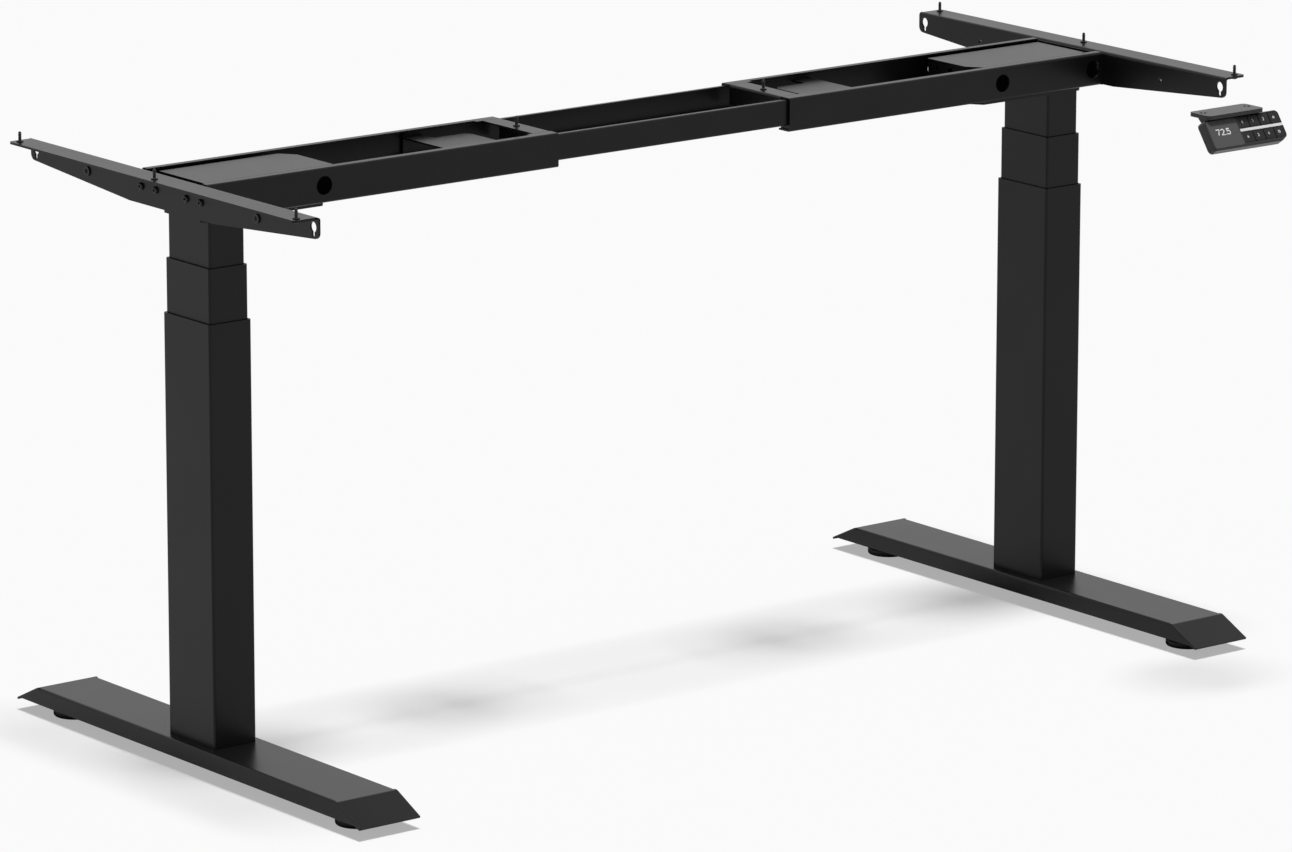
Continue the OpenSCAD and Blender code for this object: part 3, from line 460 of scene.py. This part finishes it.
# %% Key caps
KEYS = ["up", "one", "two", "mode", "down", "three", "four", "clock"]
KEY_FIRST, KEY_PITCH, KEY_ROWS = 56.0, 15.2, (8.4, 25.7)
KEY_W, KEY_H, KEY_TOP, KEY_BASE = 14.2, 13.0, -0.4, -2.8
KEY_CORNER, KEY_END_CORNER, KEY_EDGE, SMALLEST_CORNER = 1.2, 3.4, 0.5, 0.05
CORNER_POINTS, EDGE_RINGS = 8, 6
CORNER_TURNS = np.radians([0, 90, 180, 270])


def key_outline(corner_radii, inset):
    """Rounded rectangle, drawn in by an inset. Each corner is a quarter circle of its own radius r:
    centre (W/2 - r, H/2 - r), then r - inset along the angle. The corners run counterclockwise."""
    radii = np.asarray(corner_radii)[:, None]
    angle = CORNER_TURNS[:, None] + np.linspace(0, pi / 2, CORNER_POINTS)
    right = np.array([1, -1, -1, 1])[:, None]
    upper = np.array([1, 1, -1, -1])[:, None]
    small = np.maximum(radii - inset, SMALLEST_CORNER)
    u = right * (KEY_W / 2 - inset - small) + small * np.cos(angle)
    v = upper * (KEY_H / 2 - inset - small) + small * np.sin(angle)
    return np.stack([u, v], -1).reshape(-1, 2)


def key_cap(corner_radii):
    """Rings of a cap: straight walls, an edge rounded through a quarter circle, and a flat top."""
    bend = np.linspace(0, pi / 2, EDGE_RINGS)
    insets = np.concatenate([[0, 0], KEY_EDGE * (1 - np.cos(bend)), [KEY_EDGE + 0.3, KEY_EDGE + 2.5]])
    heights = np.concatenate([[KEY_BASE, KEY_BASE + 0.2], KEY_TOP - KEY_EDGE * (1 - np.sin(bend)),
                              [KEY_TOP, KEY_TOP]])
    flat = np.stack([key_outline(corner_radii, inset) for inset in insets])
    tall = np.broadcast_to(heights[:, None, None], (*flat.shape[:2], 1))
    return np.concatenate([flat, tall], -1)


key_middle = {}
for i, key in enumerate(KEYS):
    last = i % 4 == 3
    radii = [KEY_END_CORNER if last and i < 4 else KEY_CORNER, KEY_CORNER, KEY_CORNER,
             KEY_END_CORNER if last and i > 3 else KEY_CORNER]
    key_middle[key] = np.array([KEY_FIRST + (i % 4) * KEY_PITCH, -KEY_ROWS[i // 4], 0])
    cap = loft(on_face(key_cap(radii) + key_middle[key]))
    make_piece(f"{key}_cap", [cap], "key_plastic", f"{key}_key", replaces=f"key_{key}")
print(len(KEYS), "key caps,", len(cap[0]), "corners each")

# %% [markdown]
# ## Print and readout
# The digits, arrows and small pictures are strokes of white: a path, widened to both sides by half
# the stroke and given a little thickness. A font would be quicker, but its outlines are not the thin
# technical figures of a handset, and strokes need only a few points each. The light bar bends round
# the housing's end, so its path is drawn in (u, w), and its width lies along v.

# %% Strokes
PRINT_SUNK, PRINT_PROUD, PRINT_STEP = -0.05, 0.03, 0.01
LONGEST_MITRE = 1.5


def stroke(path, width, low, high):
    """Rings of a flat stroke along a path (u, v). At each point the two sides' normals are averaged
    and lengthened by 1 / cos of half the turn, so that the stroke keeps its width round a corner."""
    p = np.asarray(path, float)
    step = np.diff(p, axis=0)
    step /= np.linalg.norm(step, axis=1, keepdims=True)
    normal = np.stack([-step[:, 1], step[:, 0]], -1)
    first = np.concatenate([normal[:1], normal])
    second = np.concatenate([normal, normal[-1:]])
    middle = first + second
    middle /= np.linalg.norm(middle, axis=1, keepdims=True)
    side = middle * np.minimum(1 / (middle * second).sum(1), LONGEST_MITRE)[:, None] * width / 2
    lows, highs = np.full((len(p), 1), low), np.full((len(p), 1), high)
    return np.stack([np.concatenate([p - side, lows], 1), np.concatenate([p + side, lows], 1),
                     np.concatenate([p + side, highs], 1), np.concatenate([p - side, highs], 1)], 1)


def arc(middle, reach, start, end, points=14):
    """Points on an ellipse from one angle to another, in degrees."""
    angle = np.radians(np.linspace(start, end, points))
    return np.stack([middle[0] + reach[0] * np.cos(angle), middle[1] + reach[1] * np.sin(angle)], -1)


def joined(*parts):
    """One path through all parts, each a single point or a row of points."""
    return np.concatenate([np.atleast_2d(np.asarray(part, float)) for part in parts])


FIGURE_SHARES = {
    "1": [joined((0.22, 0.78), (0.58, 1.0), (0.58, 0.0))],
    "2": [joined(arc((0.5, 0.7), (0.43, 0.3), 165, -35), (0.05, 0.0), (1.0, 0.0))],
    "3": [joined(arc((0.45, 0.75), (0.4, 0.25), 155, -80), arc((0.45, 0.27), (0.46, 0.27), 80, -155))],
    "4": [joined((0.74, 0.0), (0.74, 1.0), (0.02, 0.3), (1.0, 0.3))],
    "5": [joined((0.92, 1.0), (0.14, 1.0), (0.1, 0.55), arc((0.46, 0.33), (0.5, 0.33), 125, -150))],
    "7": [joined((0.0, 1.0), (0.98, 1.0), (0.36, 0.0))],
    "up": [joined((0.5, 0.0), (0.5, 0.95)), joined((0.05, 0.5), (0.5, 1.0), (0.95, 0.5))],
    "down": [joined((0.5, 1.0), (0.5, 0.05)), joined((0.05, 0.5), (0.5, 0.0), (0.95, 0.5))],
    "clock": [arc((0.5, 0.5), (0.5, 0.5), 0, 352, 28), joined((0.5, 0.82), (0.5, 0.5), (0.75, 0.36))],
    "gear": [arc((0.5, 0.5), (0.32, 0.32), 0, 352, 24)]
    + [joined((0.5 + 0.3 * cos(a), 0.5 + 0.3 * sin(a)), (0.5 + 0.54 * cos(a), 0.5 + 0.54 * sin(a)))
       for a in np.radians(np.arange(8) * 45)],
}


def figure(shape, middle, size, width, ground=0.0):
    """All strokes of one figure, drawn in a box of a size about its middle, on a ground. Each further
    stroke stands a hair higher, so that no two tops lie in one plane."""
    skins = []
    for i, path in enumerate(FIGURE_SHARES[shape]):
        placed = (path - 0.5) * np.array(size) + np.array(middle)
        top = ground + PRINT_PROUD + PRINT_STEP * i
        skins.append(loft(on_face(stroke(placed, width, ground + PRINT_SUNK, top))))
    return skins

# %% Symbols on the keys
SYMBOL_SHAPES = ["up", "1", "2", "gear", "down", "3", "4", "clock"]
SYMBOL_SIZE = {"1": (2.0, 3.2), "2": (2.0, 3.2), "3": (2.0, 3.2), "4": (2.2, 3.2)}
PICTURE_SIZE = (3.0, 3.0)
SYMBOL_SHIFT = (-1.3, 0.0)
SYMBOL_STROKE = 0.55
for key, shape in zip(KEYS, SYMBOL_SHAPES):
    middle = key_middle[key][:2] + SYMBOL_SHIFT
    skins = figure(shape, middle, SYMBOL_SIZE.get(shape, PICTURE_SIZE), SYMBOL_STROKE, KEY_TOP)
    make_piece(f"{key}_symbol", skins, "key_plastic", f"{key}_key", WHITE_PRINT, smooth=False)
print("Symbols:", " ".join(SYMBOL_SHAPES))

# %% Readout and light bar
READOUT = [("7", 15.4), ("2", 21.9), ("5", 30.0)]
READOUT_SIZE, READOUT_STROKE, READOUT_V = (4.9, 6.5), 1.3, -16.4
POINT_ENDS = (25.5, 26.7)
digits = []
for shape, u in READOUT:
    digits += figure(shape, (u, READOUT_V), READOUT_SIZE, READOUT_STROKE)
point = [(u, READOUT_V - READOUT_SIZE[1] / 2) for u in POINT_ENDS]
digits.append(loft(on_face(stroke(point, READOUT_STROKE, PRINT_SUNK, PRINT_PROUD))))
make_piece("readout_digits", digits, "handset_window", "right_end_frame", WHITE_PRINT, smooth=False)

BAR_START, BAR_V, BAR_HALF = 46.9, -17.7, 1.55
CASE_LEN, CASE_EDGE = 110.4, 1.6
BAR_PROUD, BAR_SUNK, BAR_BEND = 0.1, 0.3, 0.5
bar_path = soften([(BAR_START, 0), (CASE_LEN - CASE_EDGE, 0), (CASE_LEN, -CASE_EDGE),
                   (CASE_LEN, -2.4 * CASE_EDGE)], BAR_BEND)
bar_strip = stroke(bar_path, BAR_PROUD + BAR_SUNK, -BAR_HALF, BAR_HALF)
bar_w = bar_strip[..., 1] + (BAR_PROUD - BAR_SUNK) / 2
bar_rings = np.stack([bar_strip[..., 0], BAR_V - bar_strip[..., 2], bar_w], -1)
make_piece("light_bar", [loft(on_face(bar_rings))], "handset_window", "right_end_frame",
           WHITE_PRINT, smooth=False)
print("Readout of", len(READOUT), "digits, bar", round(CASE_LEN - BAR_START, 1), "mm long")

# %% [markdown]
# ## Studio
# A product picture on white: a pale floor without end, one large light high above, and a faint glow
# from all round. The light draws the soft band of shadow that the rails cast between the columns,
# and the glow fills it. Part of the floor's look is its own white, so that no shadow turns black.
# To the camera, in reflections and through clear surfaces the background is plain white.

# %% Floor and light
FLOOR_HALF = 40.0
FLOOR_COLOR, FLOOR_OWN_WHITE, BACKGROUND_WHITE = 0.97, 0.42, 0.96
GLOW_STRENGTH = 0.05
SUN_STRENGTH, SUN_WIDTH, SUN_TILT = 2.95, radians(13), radians(3.6)
corners = [(-FLOOR_HALF, -FLOOR_HALF, 0), (FLOOR_HALF, -FLOOR_HALF, 0),
           (FLOOR_HALF, FLOOR_HALF, 0), (-FLOOR_HALF, FLOOR_HALF, 0)]
floor_mesh = bpy.data.meshes.new("floor")
floor_mesh.from_pydata(corners, [], [(0, 1, 2, 3)])
floor = bpy.data.objects.new("floor", floor_mesh)
bpy.context.scene.collection.objects.link(floor)
paper, paper_shader, paper_spot = new_material("paper")
paper_shader.inputs["Base Color"].default_value = (FLOOR_COLOR, FLOOR_COLOR, FLOOR_COLOR, 1)
paper_shader.inputs["Roughness"].default_value = 1.0
paper_shader.inputs["Specular IOR Level"].default_value = 0.0
paper_white = paper_spot.node("ShaderNodeEmission", Strength=BACKGROUND_WHITE)
paper_seen = paper_spot.node("ShaderNodeLightPath")
paper_mix = paper_spot.node("ShaderNodeMixShader", i0=paper_seen * FLOOR_OWN_WHITE,
                            i1=Socket(paper.node_tree, paper_shader.outputs[0]), i2=paper_white)
paper_spot.feed(paper.node_tree.nodes["Material Output"].inputs["Surface"], paper_mix)
floor_mesh.materials.append(paper)

world = bpy.data.worlds.new("studio")
bpy.context.scene.world = world
world.use_nodes = True
tree = world.node_tree
glow = tree.nodes["Background"]
white = tree.nodes.new("ShaderNodeBackground")
ray = tree.nodes.new("ShaderNodeLightPath")
mix = tree.nodes.new("ShaderNodeMixShader")
seen = Socket(tree, ray.outputs["Is Camera Ray"])
shiny = Socket(tree, ray.outputs["Is Glossy Ray"])
clear = Socket(tree, ray.outputs["Is Transmission Ray"])
glow.inputs["Color"].default_value = (1, 1, 1, 1)
glow.inputs["Strength"].default_value = GLOW_STRENGTH
white.inputs["Color"].default_value = (1, 1, 1, 1)
white.inputs["Strength"].default_value = BACKGROUND_WHITE
seen.feed(mix.inputs[0], seen + shiny + clear)
tree.links.new(glow.outputs[0], mix.inputs[1])
tree.links.new(white.outputs[0], mix.inputs[2])
tree.links.new(mix.outputs[0], tree.nodes["World Output"].inputs["Surface"])

sun_data = bpy.data.lights.new("overhead", "SUN")
sun_data.energy = SUN_STRENGTH
sun_data.angle = SUN_WIDTH
sun = bpy.data.objects.new("overhead", sun_data)
sun.rotation_euler = (SUN_TILT, 0, 0)
bpy.context.scene.collection.objects.link(sun)

# %% [markdown]
# ## Camera
# The photograph was taken from far away with a long lens, which keeps the columns parallel. Its
# direction, its focal length and the point of the picture that the lens looks at come from the
# frame's own straight edges, which were measured in the picture in pixels.

# %% Camera
VIEW_AZIMUTH = radians(-37.82)
VIEW_ELEVATION = radians(13.19)
FOCAL_PX = 7265.2
IMAGE_W, IMAGE_H = 1292, 852
SENSOR_W = 36.0
FARTHEST = 200.0
CENTRE_PX = (618.2, 395.9)
CAMERA_FROM_COLUMNS = Vector((-4.7746, -6.1097, 2.1386))
camera_data = bpy.data.cameras.new("camera")
camera_data.sensor_width = SENSOR_W
camera_data.lens = SENSOR_W * FOCAL_PX / IMAGE_W
camera_data.shift_x = (IMAGE_W / 2 - CENTRE_PX[0]) / IMAGE_W
camera_data.shift_y = (CENTRE_PX[1] - IMAGE_H / 2) / IMAGE_W
camera_data.clip_end = FARTHEST
camera = bpy.data.objects.new("camera", camera_data)
bpy.context.scene.collection.objects.link(camera)
bpy.context.scene.camera = camera
back = Vector((sin(VIEW_AZIMUTH) * cos(VIEW_ELEVATION), -cos(VIEW_AZIMUTH) * cos(VIEW_ELEVATION),
               sin(VIEW_ELEVATION)))
camera.location = CAMERA_FROM_COLUMNS + Vector((0, COLUMN_Y, 0))
camera.rotation_mode = "QUATERNION"
camera.rotation_quaternion = (-back).to_track_quat("-Z", "Y")
bpy.context.scene.view_settings.view_transform = "Standard"
